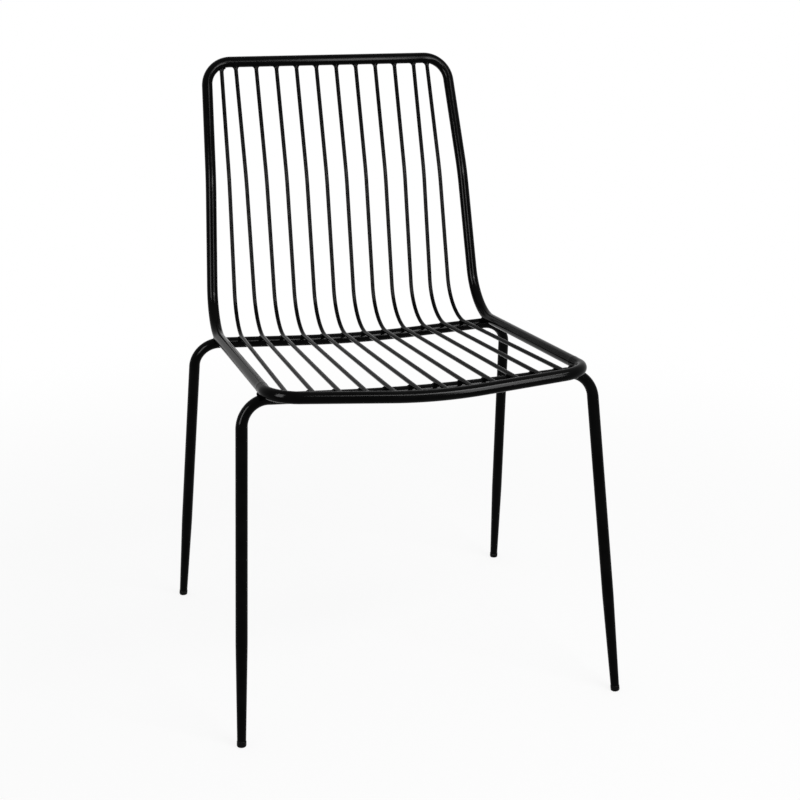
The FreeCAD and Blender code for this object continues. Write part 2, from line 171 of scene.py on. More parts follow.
def roundedRun(corners, radii, flattens):
    points, inwards, squeeze = [], [], []

    def addStraight(start, end):
        count = max(2, int(np.linalg.norm(end - start) / runs["step"]))
        share = np.arange(count)[:, None] / count
        points.append(start + share * (end - start))
        inwards.append(np.zeros((count, 3)))
        squeeze.append(np.zeros(count))

    last = corners[0]
    for before, corner, after, radius, flatten in zip(corners, corners[1:], corners[2:], radii, flattens):
        back, ahead = unit(before - corner), unit(after - corner)
        half = math.acos(float(np.clip(back @ ahead, -1, 1))) / 2
        start, end = corner + back * radius / math.tan(half), corner + ahead * radius / math.tan(half)
        middle, along = unit(back + ahead), unit(ahead - back)
        centre = corner + middle * radius / math.sin(half)
        turn = math.pi - 2 * half
        addStraight(last, start)
        count = max(runs["fewest"], math.ceil(turn / runs["turnStep"]),
                    math.ceil(turn * radius / runs["step"]))
        share = np.arange(count) / count
        angle = (share - 0.5) * turn
        inward = np.outer(np.cos(angle), middle) - np.outer(np.sin(angle), along)
        points.append(centre - radius * inward)
        inwards.append(inward)
        squeeze.append(flatten * np.sin(math.pi * share) ** runs["squeezeFade"])
        last = end
    addStraight(last, corners[-1])
    points.append(corners[-1][None])
    inwards.append(np.zeros((1, 3)))
    squeeze.append(np.zeros(1))
    line = np.concatenate(points)
    lengths = np.concatenate([[0], np.cumsum(np.linalg.norm(np.diff(line, axis=0), axis=1))])
    return {"points": line, "inwards": np.concatenate(inwards), "squeeze": np.concatenate(squeeze),
            "lengths": lengths, "tangents": unitRows(np.gradient(line, lengths, axis=0))}


# Rings that turn with the run and never twist: each ring's normal is the last one's, made square again
def ringNormals(tangents, first):
    normals = np.empty_like(tangents)
    last = np.asarray(first, float)
    for i, tangent in enumerate(tangents):
        last = unit(last - tangent * (last @ tangent))
        normals[i] = last
    return normals


# Tube surface: run + radius * (cos t * normal + sin t * binormal), pressed flat across its bends:
# what lies towards the bend's centre shrinks by the squeeze, what lies beside it grows by half of it
def tubeGrid(run, radius, sides, first):
    normals = ringNormals(run["tangents"], first)
    binormals = np.cross(run["tangents"], normals)
    turn = np.arange(sides) / sides * 2 * math.pi
    ring = np.cos(turn)[None, :, None] * normals[:, None] + np.sin(turn)[None, :, None] * binormals[:, None]
    inward = run["inwards"][:, None]
    sideways = np.cross(run["tangents"], run["inwards"])[:, None]
    squeeze = run["squeeze"][:, None, None]
    ring = ring - squeeze * (ring * inward).sum(2, keepdims=True) * inward
    ring = ring + squeeze / 2 * (ring * sideways).sum(2, keepdims=True) * sideways
    return run["points"][:, None] + np.broadcast_to(radius, len(run["points"]))[:, None, None] * ring


# Mesh from a grid of rings. Each ring is closed; the rings close on each other or end in caps.
# Its UV map is in metres: around the ring, and along the rows by their own lengths
def gridMesh(name, grid, along, around, closeRows=False, sharp=sharpEdge):
    rows, cols = grid.shape[:2]
    r = np.arange(rows if closeRows else rows - 1)[:, None]
    c = np.arange(cols)[None]
    nextRow, nextCol = (r + 1) % rows, (c + 1) % cols
    quads = np.stack([r * cols + c, r * cols + nextCol, nextRow * cols + nextCol, nextRow * cols + c], 2)
    faces = quads.reshape(-1, 4).tolist()
    if not closeRows:
        faces.append(list(range(cols - 1, -1, -1)))
        faces.append(list(range((rows - 1) * cols, rows * cols)))
    mesh = bpy.data.meshes.new(name)
    mesh.from_pydata(grid.reshape(-1, 3).tolist(), [], faces)
    lengths = np.append(along, along[-1] + (along[-1] - along[-2]))
    u = np.stack([c, c + 1, c + 1, c], 2) / cols * around
    v = np.stack([lengths[r], lengths[r], lengths[r + 1], lengths[r + 1]], 2)
    uv = np.stack([np.broadcast_to(u, quads.shape), np.broadcast_to(v, quads.shape)], 3).reshape(-1, 2)
    uv = np.concatenate([uv, np.zeros((len(mesh.loops) - len(uv), 2))])
    mesh.uv_layers.new(name="UVMap").data.foreach_set("uv", uv.astype(np.float32).ravel())
    mesh.validate()
    mesh.shade_smooth()
    mesh.set_sharp_from_angle(angle=math.radians(sharp))
    return mesh


def joinMeshes(name, meshes):  # one mesh from several, vertices and UVs kept
    verts = np.concatenate([meshPoints(m) for m in meshes])
    faces, base, uvs = [], 0, []
    for m in meshes:
        faces += [[base + v for v in p.vertices] for p in m.polygons]
        uv = np.zeros(len(m.loops) * 2, np.float32)
        m.uv_layers[0].data.foreach_get("uv", uv)
        uvs.append(uv)
        base += len(m.vertices)
    mesh = bpy.data.meshes.new(name)
    mesh.from_pydata(verts.tolist(), [], faces)
    mesh.uv_layers.new(name="UVMap").data.foreach_set("uv", np.concatenate(uvs))
    mesh.shade_smooth()
    mesh.set_sharp_from_angle(angle=math.radians(sharpEdge))
    return mesh


def meshPoints(mesh):
    points = np.zeros(len(mesh.vertices) * 3)
    mesh.vertices.foreach_get("co", points)
    return points.reshape(-1, 3)


def addPiece(name, mesh, node, material):
    piece = bpy.data.objects.new(name, mesh)
    bpy.context.scene.collection.objects.link(piece)
    mesh.materials.append(material)
    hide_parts(node)
    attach(piece, rootBody)
    return piece


# Shader maths: a wrapped socket adds its own Math nodes
class Sock:
    def __init__(self, tree, out=None):
        self.tree, self.out = tree, out

    # Any node: its settings first, then its sockets by name or number
    def add(self, kind, settings=None, inputs=None, out=0):
        node = self.tree.nodes.new(kind)
        for key, value in (settings or {}).items():
            setattr(node, key, value)
        for key, value in (inputs or {}).items():
            if isinstance(value, Sock):
                self.tree.links.new(value.out, node.inputs[key])
            else:
                node.inputs[key].default_value = value
        return Sock(self.tree, node.outputs[out]) if len(node.outputs) else node

    def calc(self, operation, *values):
        return self.add("ShaderNodeMath", {"operation": operation}, dict(enumerate(values)))

    def __add__(self, other):
        return self.calc("ADD", self, other)

    def __radd__(self, other):
        return self.calc("ADD", other, self)

    def __sub__(self, other):
        return self.calc("SUBTRACT", self, other)

    def __rsub__(self, other):
        return self.calc("SUBTRACT", other, self)

    def __mul__(self, other):
        return self.calc("MULTIPLY", self, other)

    def __rmul__(self, other):
        return self.calc("MULTIPLY", other, self)

    def eased(self, low, high):  # 0 at low, 1 at high, a smooth step between
        settings = {"interpolation_type": "SMOOTHSTEP"}
        inputs = {"Value": self, "From Min": low, "From Max": high, "To Min": 0.0, "To Max": 1.0}
        return self.add("ShaderNodeMapRange", settings, inputs)

    def mixed(self, first, second):  # colour from first to second by this value
        factor, firstColour, secondColour, mixedColour = 0, 6, 7, 2   # the Mix node's sockets for colours
        inputs = {factor: self, firstColour: first, secondColour: second}
        return self.add("ShaderNodeMix", {"data_type": "RGBA"}, inputs, mixedColour)


def newMaterial(name):
    material = bpy.data.materials.new(name)
    material.use_nodes = True
    tree = material.node_tree
    tree.nodes.clear()
    return material, Sock(tree)


def finishMaterial(tree, shader):
    tree.add("ShaderNodeOutputMaterial", inputs={"Surface": shader})


def grey(value, tint=0.0):  # nearly neutral colour, a little blue for tint above 0
    return (value * (1 - tint), value * (1 - tint / 2), value, 1.0)


# Satin black powder coat: a fine orange-peel skin, slow cloudy changes of gloss, and dust as a thin film
# and a few specks on what faces up
powder = {
    "black": 0.0006,
    "cloud": 0.0017,
    "dust": 0.016,
    "tint": 0.06,
    "specular": 0.026,
    "roughness": 0.14,
    "roughSpread": 0.06,
    "dustRoughness": 0.25,
    "cloudPerMetre": 24.0,
    "cloudRange": (0.35, 0.7),
    "peelPerMetre": 620.0,
    "peelDepth": 0.00002,
    "grainPerMetre": 2600.0,
    "grainDepth": 0.000004,
    "speckPerMetre": 900.0,
    "speckRange": (0.66, 0.74),
    "settleRange": (0.2, 0.95),   # of the upward part of the normal
    "settled": 0.25,
    "settledInClouds": 0.35,
    "speckShare": 0.5,
    "filmShare": 0.12,
}


def noise(tree, place, perMetre, detail=2.0, rough=0.5):
    inputs = {"Vector": place, "Scale": perMetre, "Detail": detail, "Roughness": rough}
    return tree.add("ShaderNodeTexNoise", inputs=inputs)


def bump(tree, height, depth, over=None):  # height in metres over the surface or over another bump
    inputs = {"Height": height, "Strength": 1.0, "Distance": depth}
    if over is not None:
        inputs["Normal"] = over
    return tree.add("ShaderNodeBump", inputs=inputs)


def powderCoat(name, roughShift=0.0, peelScale=1.0, peelShare=1.0):
    material, tree = newMaterial(name)
    place = tree.add("ShaderNodeTexCoord", out="Object")
    normal = tree.add("ShaderNodeNewGeometry", out="Normal")
    upward = tree.add("ShaderNodeSeparateXYZ", inputs={"Vector": normal}, out="Z")
    cloud = noise(tree, place, powder["cloudPerMetre"], 4.0, 0.6).eased(*powder["cloudRange"])
    peel = noise(tree, place, powder["peelPerMetre"] * peelScale)
    grain = noise(tree, place, powder["grainPerMetre"], 1.0)
    speck = noise(tree, place, powder["speckPerMetre"], 1.0).eased(*powder["speckRange"])
    settled = upward.eased(*powder["settleRange"]) * (powder["settled"] + powder["settledInClouds"] * cloud)
    dust = speck * powder["speckShare"] * settled + settled * powder["filmShare"]
    colour = cloud.mixed(grey(powder["black"], powder["tint"]), grey(powder["cloud"], powder["tint"]))
    colour = dust.mixed(colour, grey(powder["dust"]))
    rough = (powder["roughness"] + roughShift) + powder["roughSpread"] * (cloud - 0.5)
    skin = bump(tree, peel, peelShare * powder["peelDepth"])
    shader = tree.add("ShaderNodeBsdfPrincipled", inputs={
        "Base Color": colour, "Roughness": rough + powder["dustRoughness"] * dust,
        "Normal": bump(tree, grain, powder["grainDepth"], skin), "Metallic": 0.0, "IOR": 1.5,
        "Specular IOR Level": powder["specular"]})
    finishMaterial(tree, shader)
    return material


# Moulded foot: black plastic with a fine spark-eroded grain, scuffed where it drags on the floor
plastic = {"black": 0.0012, "scuff": 0.008, "specular": 0.05, "roughness": 0.42, "scuffRoughness": 0.2,
           "grainPerMetre": 2200.0, "grainDepth": 0.00003, "scuffTop": 0.0022, "scuffPerMetre": 420.0,
           "scuffRange": (0.42, 0.66)}


def footPlastic():
    material, tree = newMaterial("moulded foot plastic")
    place = tree.add("ShaderNodeTexCoord", out="Object")
    grain = noise(tree, place, plastic["grainPerMetre"])
    patch = noise(tree, place, plastic["scuffPerMetre"], 4.0, 0.7)
    height = tree.add("ShaderNodeSeparateXYZ", inputs={"Vector": place}, out="Z")
    scuff = (1 - height.eased(0.0, plastic["scuffTop"])) * patch.eased(*plastic["scuffRange"])
    colour = scuff.mixed(grey(plastic["black"]), grey(plastic["scuff"]))
    shader = tree.add("ShaderNodeBsdfPrincipled", inputs={
        "Base Color": colour, "Roughness": plastic["roughness"] + plastic["scuffRoughness"] * scuff,
        "Normal": bump(tree, grain, plastic["grainDepth"]), "Specular IOR Level": plastic["specular"]})
    finishMaterial(tree, shader)
    return material


tubeCoat = powderCoat("satin black powder coat on tube")
rodCoat = powderCoat("satin black powder coat on rods", roughShift=0.05, peelShare=0.4)
weldCoat = powderCoat("powder coat over weld beads", roughShift=0.08, peelScale=0.8)
footCoat = footPlastic()
print("materials made")


# Tube with a real wall: the rings go out along the outside, raised by the seam, and come back along the bore
def hollowTube(name, run, radius, sides, first, seam=0.0):
    outside = tubeGrid(run, radius + seam, sides, first)
    bore = tubeGrid(run, radius - hoop["wall"], sides, first)
    grid = np.concatenate([outside, bore[::-1]])
    along = np.concatenate([run["lengths"], run["lengths"][::-1]])
    return gridMesh(name, grid, along, 2 * math.pi * tubeRadius, closeRows=True)


# Hoop: from the left joint back along the seat, up the back, over the top rail and down again
def hoopRun():
    halves = []
    for side in (-1, 1):
        halves.append([sideRailPoint(side, frontRail["jointSetback"]), placeAt(side * halfRear, seatCorner),
                       placeAt(side * halfKink, backKink), placeAt(side * halfTop, topCorner)])
    names = ["seatBend", "backKink", "topCorner"]
    radii = [hoop[name] for name in names]
    flattens = [hoop["flatten"][name] for name in names]
    return roundedRun(halves[0] + halves[1][::-1], radii + radii[::-1], flattens + flattens[::-1])


# A bowed bar is a wide V with a round middle
def bowTip(depth, half, roundHalf):
    return depth * half / (half - roundHalf / 2)


def bowShare(across, half, roundHalf):  # 1 in the middle, 0 at the corner
    reach = abs(across)
    if reach < roundHalf:
        reach = reach * reach / (2 * roundHalf) + roundHalf / 2
    return (half - reach) / (half - roundHalf / 2)


def bowRadius(depth, half, roundHalf):
    return roundHalf * (half - roundHalf / 2) / depth


def frontRailRun():
    size = (halfFront, frontRail["roundHalf"])
    tip = placeAt(0, frontCorner - (bowTip(frontRail["bow"], *size), bowTip(frontRail["dip"], *size)))
    ends = [[sideRailPoint(side, frontRail["jointSetback"]), placeAt(side * halfFront, frontCorner)]
            for side in (-1, 1)]
    bow = math.hypot(frontRail["bow"], frontRail["dip"])
    radii = [frontRail["cornerBend"], bowRadius(bow, *size), frontRail["cornerBend"]]
    flattens = [frontRail["flatten"], 0.0, frontRail["flatten"]]
    return roundedRun(ends[0] + [tip] + ends[1][::-1], radii, flattens)


hoopLine = hoopRun()
railLine = frontRailRun()


def seamBump(run, width, height):  # raised ring at both ends: height * exp(-(distance / width)^2)
    toEnd = np.minimum(run["lengths"], run["lengths"][-1] - run["lengths"])
    return height * np.exp(-(toEnd / width) ** 2)


for node, line in (("back_hoop_tube", hoopLine), ("front_rail_tube", railLine)):
    ring = seamBump(line, frontRail["seamWidth"], frontRail["seamHeight"])
    mesh = hollowTube(node + "_skin", line, tubeRadius, hoop["sides"], vec(0, 0, 1), ring)
    addPiece(node + "_skin", mesh, node, tubeCoat)
print("hoop and front rail made")


# Leg frames: the crossbar carries the side rails at a known place
def fallInBend(frameSize, across, height):  # how much lower a rail rests on the bend than on the bar
    half = frameSize["shoulder"] / 2
    rising = math.atan(frameSize["dish"] / (half - frameSize["roundHalf"] / 2))
    splay = math.atan((frameSize["footSpread"] / 2 - half) / height)
    bendStart = half - frames["bend"] * math.tan((math.pi / 2 + rising - splay) / 2)
    past = max(0, across - bendStart)
    reach = frames["bend"] + 2 * tubeRadius + frames["gap"]
    return reach - math.sqrt(reach ** 2 - past ** 2)


def layOutFrame(frameSize, bar, railHalf):
    half = frameSize["shoulder"] / 2
    depth = frameSize["dish"] * bowShare(railHalf, half, frameSize["roundHalf"])
    footY = bar[0] + frameSize["reach"]
    lean = (bar[0] - footY) / bar[1]
    cornerZ = bar[1] + depth + fallInBend(frameSize, railHalf, bar[1])
    corner = np.array([footY + lean * cornerZ, cornerZ])
    frameSize.update(half=half, lean=lean, corner=corner, footY=footY)


def barAt(frameSize, across):  # centre of the crossbar, as (y, z)
    drop = frameSize["dish"] * bowShare(across, frameSize["half"], frameSize["roundHalf"])
    return frameSize["corner"] - drop * np.array([frameSize["lean"], 1.0])


def frameRun(frameSize):
    size = (frameSize["half"], frameSize["roundHalf"])
    drop = bowTip(frameSize["dish"], *size)
    tip = placeAt(0, frameSize["corner"] - drop * np.array([frameSize["lean"], 1.0]))
    ends = []
    for side in (-1, 1):
        foot = vec(side * frameSize["footSpread"] / 2, frameSize["footY"], 0)
        shoulder = placeAt(side * frameSize["half"], frameSize["corner"])
        ends.append([foot + unit(shoulder - foot) * frames["headHeight"], shoulder])
    radii = [frames["bend"], bowRadius(frameSize["dish"], *size), frames["bend"]]
    flattens = [frames["flatten"], 0.0, frames["flatten"]]
    return roundedRun(ends[0] + [tip] + ends[1][::-1], radii, flattens)


def legRadius(run):  # straight taper from the tube's end up to the full tube
    toEnd = np.minimum(run["lengths"], run["lengths"][-1] - run["lengths"])
    share = np.clip(toEnd / frames["taper"], 0, 1)
    return frames["endRadius"] + share * (tubeRadius - frames["endRadius"])


railOnBar = 2 * tubeRadius + frames["gap"]
wrap = math.atan2(-seatUp[1], -seatUp[0]) + math.radians(frames["rearWrap"])
rearBar = bendCentre + (hoop["seatBend"] + railOnBar) * np.array([math.cos(wrap), math.sin(wrap)])
frontBar = frontCorner + seatAlong * frames["barSetback"] / seatAlong[0] - seatUp * railOnBar
railHalfFront = halfFront + frames["barSetback"] / hoop["seatRun"] * (halfRear - halfFront)
layOutFrame(frames["front"], frontBar, railHalfFront)
layOutFrame(frames["rear"], rearBar, halfRear)

for end in ("front", "rear"):
    line = frames[end]["line"] = frameRun(frames[end])
    mesh = hollowTube(end + "_leg_frame_skin", line, legRadius(line), frames["sides"], vec(0, 1, 0))
    addPiece(end + "_leg_frame_skin", mesh, frames[end]["node"], tubeCoat)
print("leg frames made")


# Rods: the seat run lies on the front crossbar, the bend on the rear one, and the lower back
# stands behind the hoop's by the difference of the two radii
def crossPoint(first, firstAlong, second, secondAlong):  # where two lines of the side view cross
    cross = firstAlong[0] * secondAlong[1] - firstAlong[1] * secondAlong[0]
    between = second - first
    return first + firstAlong * (between[0] * secondAlong[1] - between[1] * secondAlong[0]) / cross


def fallInCorner(across):  # how far the front rail has turned back in its corner bend
    radius = frontRail["cornerBend"]
    splay = math.atan(frontRail["bow"] / (halfFront - frontRail["roundHalf"] / 2))
    past = max(0, abs(across) - halfFront + radius * math.tan((math.pi / 2 - splay) / 2))
    return radius - math.sqrt(radius ** 2 - past ** 2)


def rodPlaces(number):  # x at the top rail, in the bend and at the front rail
    place = number - (rods["count"] + 1) / 2
    spaces = rods["count"] - 1
    top = place * (hoop["widthTop"] - 2 * rods["edgeTop"]) / spaces
    if number in (1, rods["count"]):
        top -= math.copysign(rods["outerInsetTop"], place)
    bend = place * (hoop["widthRear"] - 2 * rods["edgeBend"]) / spaces
    front = place * (hoop["widthFront"] - 2 * rods["edgeFront"]) / spaces
    return top + rods["shiftTop"], bend + rods["shiftBend"], front + rods["shiftFront"]


def rodRun(corners):
    return roundedRun(corners, [rods["bendRadius"], hoop["backKink"]], [rods["flatten"], 0.0])


def layOutRod(number):
    topX, bendX, frontX = rodPlaces(number)
    barX = frontX + frames["barSetback"] / hoop["seatRun"] * (bendX - frontX)
    setback = tubeRadius - rods["radius"]
    reach = rods["bendRadius"] + tubeRadius + rods["radius"] + frames["gap"]
    backNormal = np.array([backAlong[1], -backAlong[0]])
    rear, front = barAt(frames["rear"], bendX), barAt(frames["front"], barX)
    highest = bendCentre + (hoop["seatBend"] + setback - rods["bendRadius"]) * backNormal
    offset = highest - rear
    slide = -(offset @ backAlong) + math.sqrt((offset @ backAlong) ** 2 - offset @ offset + reach ** 2)
    span = highest + slide * backAlong - front
    slope = math.atan2(span[1], span[0]) - math.asin(reach / np.linalg.norm(span))
    along = np.array([math.cos(slope), math.sin(slope)])
    start = front + (reach - rods["bendRadius"]) * np.array([-along[1], along[0]])
    kink = backKink + setback * backNormal
    corner = crossPoint(start, along, kink, backAlong)
    railY = frontCorner[0] - frontRail["bow"] * bowShare(frontX, halfFront, frontRail["roundHalf"])
    frontEnd = start + along * (railY + fallInCorner(frontX) - start[0]) / along[0]
    kinkX = bendX + kinkShare * (topX - bendX)
    places = ((frontX, frontEnd), (bendX, corner), (kinkX, kink), (topX, topCorner))
    corners = [placeAt(x, side) for x, side in places]
    return {"number": number, "corners": corners, "line": rodRun(corners), "barX": barX, "bendX": bendX}


def trimmedEnd(corner, following, inset):  # stops a rod's end short, inside the wall that it meets
    return corner + unit(following - corner) * inset


rodList = [layOutRod(number) for number in range(1, rods["count"] + 1)]
for rod in rodList:
    node = "seat_and_back_rod_%02d" % rod["number"]
    c = rod["corners"]
    inset = tubeRadius - hoop["wall"]
    ends = [trimmedEnd(c[0], c[1], inset), c[1], c[2], trimmedEnd(c[3], c[2], inset)]
    line = rodRun(ends)
    grid = tubeGrid(line, rods["radius"], rods["sides"], vec(1, 0, 0))
    mesh = gridMesh(node + "_skin", grid, line["lengths"], 2 * math.pi * rods["radius"])
    addPiece(node + "_skin", mesh, node, rodCoat)
print("rods made")


# Weld rings where a rod ends on a tube. Round the rod by an angle, the ring's face runs from the rod,
# height above the tube, out to the tube's own surface, on a hollow curve: at share s of the face it stands
# out by spread * (1 - sqrt(1 - round * s^2)) ^ hollow and up by rise * (1 - s) ^ climb
fillets = {
    "top": 0.0034,                # how far a ring spreads on the top rail
    "front": 0.0018,              # and on the front rail
    "height": 0.0046,
    "round": 0.98,
    "hollow": 0.75,
    "climb": 1.35,
    "wander": 0.22,
    "sunk": 0.0008,
    "core": (0.6, 0.8),           # inner edge: share of the rod's radius, share of the rim's height
    "steepest": 0.25,             # lowest share of the tube's radius that the rim goes down to
    "turns": 40,
    "face": 9,
    "riseSeed": 100,
    "sharp": 50,
    "uvStep": 0.001,
    "uvAround": 0.01,
}


def wobble(turn, seed, size):  # smooth and closed: three sines with phases of their own
    rng = np.random.default_rng(seed)
    phases, weights = rng.uniform(0, 2 * math.pi, 3), rng.uniform(0.4, 1.0, 3)
    waves = sum(weight * np.sin(count * turn + phase)
                for count, weight, phase in zip((1, 2, 3), weights, phases))
    return size * waves / weights.sum()


def nearestOn(run, point, along):  # closest points of a run and a line, with the run's direction there
    away = run["points"] - point
    k = int(np.linalg.norm(away - np.outer(away @ along, along), axis=1).argmin())
    tangent = run["tangents"][k]
    axes = np.stack([tangent, -along, np.cross(along, tangent)], 1)
    steps = np.linalg.solve(axes, point - run["points"][k])
    return run["points"][k] + tangent * steps[0], tangent, point + along * steps[1]


def filletRing(run, point, away, leg, seed):
    away = unit(away)
    onTube, tangent, onRod = nearestOn(run, point, away)
    acrossTube = unit(np.cross(away, tangent))
    alongTube = np.cross(acrossTube, away)
    shift = (onRod - onTube) @ acrossTube
    turn = np.arange(fillets["turns"]) / fillets["turns"] * 2 * math.pi
    spread = leg * (1 + wobble(turn, seed, fillets["wander"]))
    rise = fillets["height"] * (1 + wobble(turn, seed + fillets["riseSeed"], fillets["wander"]))
    share = np.linspace(0, 1, fillets["face"])[None]
    hollow = (1 - np.sqrt(1 - share ** 2 * fillets["round"])) ** fillets["hollow"]
    out = rods["radius"] + spread[:, None] * hollow

    def surface(out):  # height of the tube's surface over its centre line
        sideways = out * np.sin(turn)[:, None] + shift
        return np.sqrt(np.maximum(tubeRadius ** 2 - sideways ** 2, (fillets["steepest"] * tubeRadius) ** 2))

    height = surface(out) + rise[:, None] * (1 - share) ** fillets["climb"]
    coreOut, coreHeight = fillets["core"]
    core = np.full(len(turn), coreOut * rods["radius"])
    innerOut = np.stack([out[:, -1], core, core], 1)
    innerHeight = np.stack([height[:, -1] - fillets["sunk"], height[:, -1] * coreHeight, height[:, 0]], 1)
    out, height = np.concatenate([out, innerOut], 1), np.concatenate([height, innerHeight], 1)
    around = np.cos(turn)[:, None, None] * alongTube + np.sin(turn)[:, None, None] * acrossTube
    return onRod + out[..., None] * around + height[..., None] * away


def filletMesh(name, run, ends, leg):
    grids = [filletRing(run, point, away, leg, seed)[::-1] for seed, (point, away) in enumerate(ends)]
    rings = [gridMesh("ring", grid, np.arange(len(grid)) * fillets["uvStep"], fillets["uvAround"],
                      closeRows=True, sharp=fillets["sharp"]) for grid in grids]
    return joinMeshes(name, rings)


topEnds = [(rod["corners"][3], rod["corners"][2] - rod["corners"][3]) for rod in rodList]
frontEnds = [(rod["corners"][0], rod["corners"][1] - rod["corners"][0]) for rod in rodList]
for end, line, rodEnds in (("top", hoopLine, topEnds), ("front", railLine, frontEnds)):
    name = end + "_rail_weld_rings"
    addPiece(name, filletMesh(name, line, rodEnds, fillets[end]), end + "_rail_welds", weldCoat)

# Weld beads beside a crossing. At s along the upper bar the section runs from the upper bar's surface,
# at a climbing angle, down to the lower tube's surface, with a round face. Towards both ends it fades, by
# end + (1 - end) * (1 - s^2) ^ fade
beads = {
    "steps": 24,
    "face": 8,
    "belly": 0.14,
    "wander": 0.18,
    "waves": 2.2,
    "end": 0.2,
    "fade": 0.42,
    "proud": 0.00008,
    "heart": 0.25,                # how far in the hidden inner edge lies, as a share of the foot
    "seeds": (7, 40),             # step from one crossing to the next, first one
    "sharp": 50,
    "uvStep": 0.0005,
    "uvAround": 0.008,
    "rod": {"half": 0.0034, "climb": 52.0, "foot": 0.0046, "sunk": 0.0006},
    "hoop": {"half": 0.0040, "climb": 38.0, "foot": 0.0068, "sunk": 0.0009},
}


def ontoTube(points, run, radius):  # moves each point straight to the surface of a tube
    k = np.linalg.norm(points[:, None] - run["points"][None], axis=2).argmin(1)
    tangent = run["tangents"][k]
    centre = run["points"][k]
    centre = centre + tangent * ((points - centre) * tangent).sum(1, keepdims=True)
    return centre + unitRows(points - centre) * radius


def crossBead(crossing, upper, upperRadius, lower, side, size, seed):
    rest, along, up = crossing
    across = unit(np.cross(along, up)) * side
    s = np.linspace(-1, 1, beads["steps"])
    full = beads["end"] + (1 - beads["end"]) * np.clip(1 - s ** 2, 0, 1) ** beads["fade"]
    full = full * (1 + wobble((s + 1) * beads["waves"], seed, beads["wander"]))
    line = rest + (s * size["half"])[:, None] * along
    angle = math.radians(size["climb"]) * full[:, None]
    high = line + upperRadius * (np.sin(angle) * across + (1 - np.cos(angle)) * up)
    low = line + size["foot"] * full[:, None] * across
    proud, sunk = beads["proud"], size["sunk"]
    highOut, highIn = (ontoTube(high, upper, upperRadius + step) for step in (proud, -sunk))
    lowOut, lowIn = (ontoTube(low, lower, tubeRadius + step) for step in (proud, -sunk))
    share = np.linspace(0, 1, beads["face"])[None, :, None]
    face = highOut[:, None] + share * (lowOut - highOut)[:, None]
    outwards = np.cross(lowOut - highOut, along) * side
    outwards = outwards * np.sign((outwards * (across + up)).sum(1, keepdims=True))
    face = face + outwards[:, None] * beads["belly"] * np.sin(math.pi * share)
    heart = (highIn + lowIn) / 2 - beads["heart"] * size["foot"] * full[:, None] * across
    grid = np.concatenate([face, lowIn[:, None], heart[:, None], highIn[:, None]], 1)
    return grid if side > 0 else grid[:, ::-1]


def crossingOf(run, bar, across):  # resting point on a crossbar, direction of the run, and away from the bar
    start, end = (placeAt(x, barAt(bar, x)) for x in (across - tubeRadius, across + tubeRadius))
    onRun, tangent, onBar = nearestOn(run, start, unit(end - start))
    up = unit(onRun - onBar)
    return onBar + up * tubeRadius, tangent, up


def beadMesh(name, joints, size, upperRadius):  # joints: the run above, its leg frame, x of the crossing
    grids = []
    seedStep, firstSeed = beads["seeds"]
    for number, (run, bar, across) in enumerate(joints):
        for side in (-1, 1):
            crossing = crossingOf(run, bar, across)
            seed = seedStep * number + side + firstSeed
            grids.append(crossBead(crossing, run, upperRadius, bar["line"], side, size, seed))
    parts = [gridMesh("bead", grid, np.arange(len(grid)) * beads["uvStep"], beads["uvAround"],
                      sharp=beads["sharp"]) for grid in grids]
    return joinMeshes(name, parts)


def halfOf(run, side):  # the samples of a run on one side of the chair
    mask = run["points"][:, 0] * side > 0
    return {key: values[mask] for key, values in run.items()}


frontJoints = [(rod["line"], frames["front"], rod["barX"]) for rod in rodList]
rearJoints = [(rod["line"], frames["rear"], rod["bendX"]) for rod in rodList]
hoopJoints = []
for side in (-1, 1):
    hoopJoints.append((halfOf(hoopLine, side), frames["front"], side * railHalfFront))
    hoopJoints.append((halfOf(hoopLine, side), frames["rear"], side * halfRear))
for place, joints, size, upperRadius in (("front_crossbar", frontJoints, beads["rod"], rods["radius"]),
                                         ("rear_crossbar", rearJoints, beads["rod"], rods["radius"]),
                                         ("hoop_to_frame", hoopJoints, beads["hoop"], tubeRadius)):
    name = place + "_weld_beads"
    addPiece(name, beadMesh(name, joints, size, upperRadius), place + "_welds", weldCoat)
print("welds made")


# Foot plugs: a turned profile of (radius, height along the leg), cut level with the floor
foot = {
    "headRadius": 0.0064,
    "edge": 0.0030,
    "edgeSteps": 8,
    "overRun": 0.0009,
    "middle": 0.0012,             # radius of the flat face that closes the bottom
    "stemRadius": 0.00435,
    "stem": 0.016,
    "lip": 0.0004,
    "turns": 48,
    "sharp": 30,
}


def footProfile():
    low, top = -foot["overRun"], frames["headHeight"]
    edge = [(foot["headRadius"] - foot["edge"] * (1 - math.sin(a)), low + foot["edge"] * (1 - math.cos(a)))
            for a in np.linspace(0, math.pi / 2, foot["edgeSteps"])]
    shoulder = [(foot["headRadius"], top - foot["lip"]), (foot["headRadius"] - foot["lip"], top),
                (foot["stemRadius"], top), (foot["stemRadius"], top + foot["stem"])]
    return np.array([(foot["middle"], low)] + edge + shoulder)


def footMesh(name, frameSize, side):
    base = vec(side * frameSize["footSpread"] / 2, frameSize["footY"], 0)
    along = unit(placeAt(side * frameSize["half"], frameSize["corner"]) - base)
    first = unit(np.cross(along, vec(0, 1, 0)))
    second = np.cross(along, first)
    turn = np.arange(foot["turns"]) / foot["turns"] * 2 * math.pi
    ring = np.cos(turn)[:, None] * first + np.sin(turn)[:, None] * second
    profile = footProfile()
    grid = base + profile[:, :1, None] * ring[None] + profile[:, 1:, None] * along
    grid[..., 2] = np.maximum(grid[..., 2], 0.0)
    around = 2 * math.pi * foot["headRadius"]
    return gridMesh(name, grid, profile[:, 1] - profile[0, 1], around, sharp=foot["sharp"])


